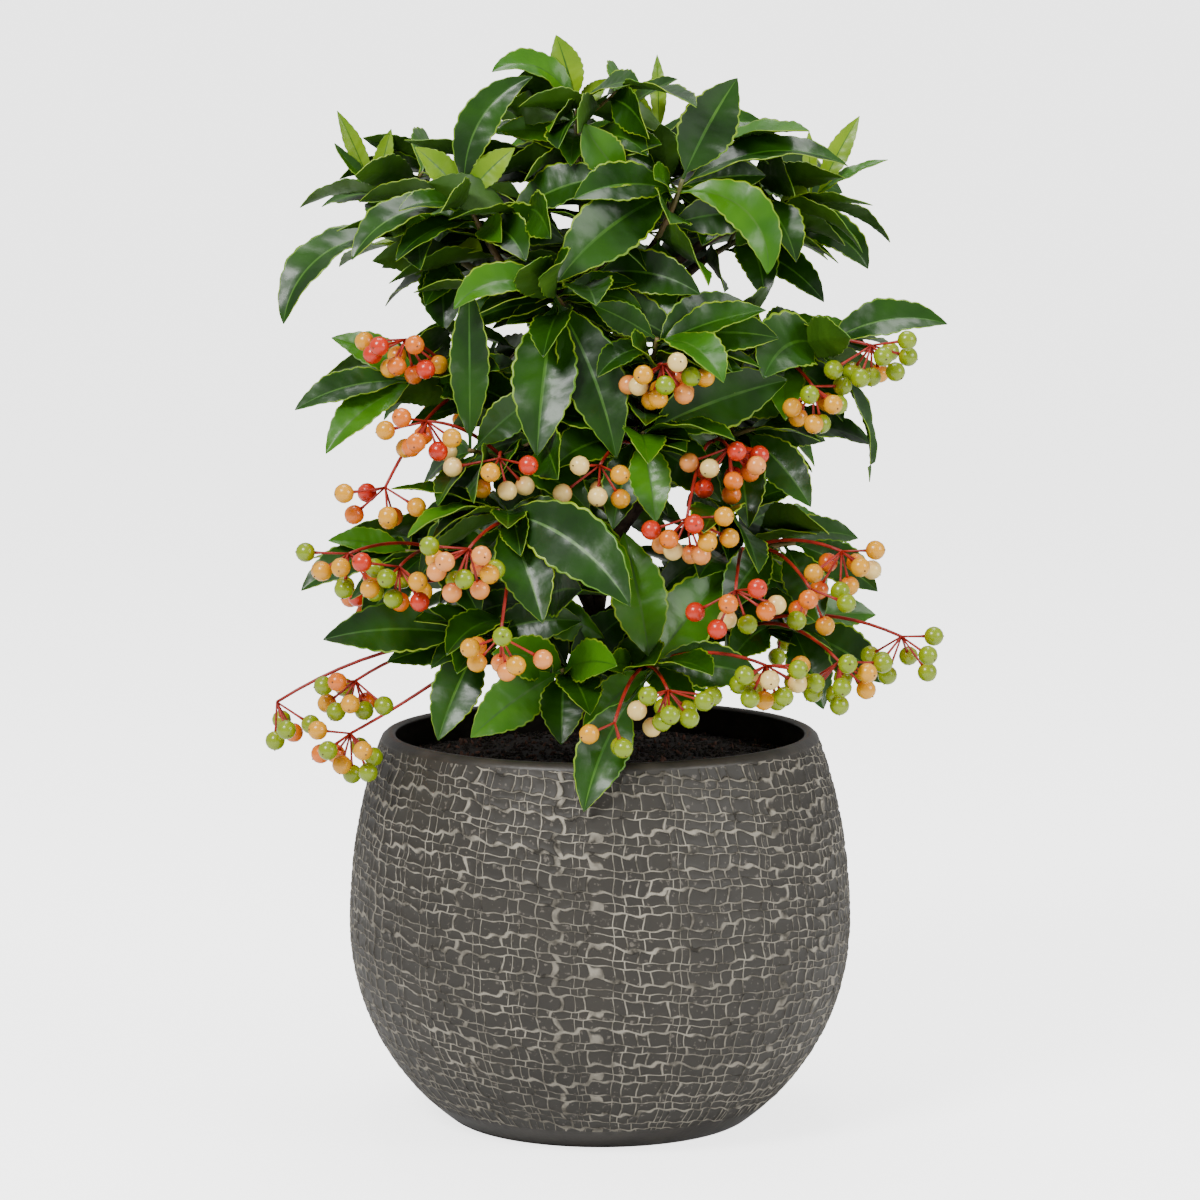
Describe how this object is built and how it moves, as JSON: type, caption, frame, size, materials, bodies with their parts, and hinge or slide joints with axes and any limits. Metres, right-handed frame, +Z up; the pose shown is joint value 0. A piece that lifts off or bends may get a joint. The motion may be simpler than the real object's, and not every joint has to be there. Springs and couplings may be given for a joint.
{
  "type": "potted coral ardisia shrub",
  "caption": "Evergreen coral ardisia shrub with hanging trusses of green, gold and red berries, in a round dark pot with a cracked tile glaze.",
  "frame": {"origin": "centre of the pot's flat underside", "axes": "+Z up along the pot's turning axis, -Y towards the side that the picture shows, +X to its right"},
  "size_m": [0.291, 0.2547, 0.4731],
  "materials": {
    "pot": "satin",
    "soil": "matte",
    "bark": "matte",
    "foliage": "satin"
  },
  "bodies": {
    "root": {"pot": "pot", "soil": "soil", "trunk": "bark", "crown_front_bough": "bark", "crown_back_bough": "bark", "upper_left_bough": "bark", "far_left_bough": "bark", "left_sprig_bough": "bark", "right_sprig_bough": "bark", "right_upper_bough": "bark", "right_bough": "bark", "front_centre_bough": "bark", "front_right_bough": "bark", "front_right_low_bough": "bark", "left_shoot_bough": "bark", "left_mid_bough": "bark", "front_left_bough": "bark", "left_low_bough": "bark", "right_mid_bough": "bark", "right_low_bough": "bark", "low_left_bough": "bark", "low_front_bough": "bark", "low_right_bough": "bark", "side_right_bough": "bark", "back_left_mid_bough": "bark", "back_right_mid_bough": "bark", "back_mid_bough": "bark", "back_low_left_bough": "bark", "back_low_right_bough": "bark", "back_low_bough": "bark", "crown_peak": "foliage", "crown_front": "foliage", "crown_back": "foliage", "upper_left": "foliage", "far_left": "foliage", "left_sprig": "foliage", "right_sprig": "foliage", "right_upper": "foliage", "right": "foliage", "front_centre": "foliage", "front_right": "foliage", "front_right_low": "foliage", "left_shoot": "foliage", "left_mid": "foliage", "front_left": "foliage", "left_low": "foliage", "right_mid": "foliage", "right_low": "foliage", "low_left": "foliage", "low_front": "foliage", "low_right": "foliage", "side_right": "foliage", "back_left_mid": "foliage", "back_right_mid": "foliage", "back_mid": "foliage", "back_low_left": "foliage", "back_low_right": "foliage", "back_low": "foliage"}
  },
  "joints": []
}
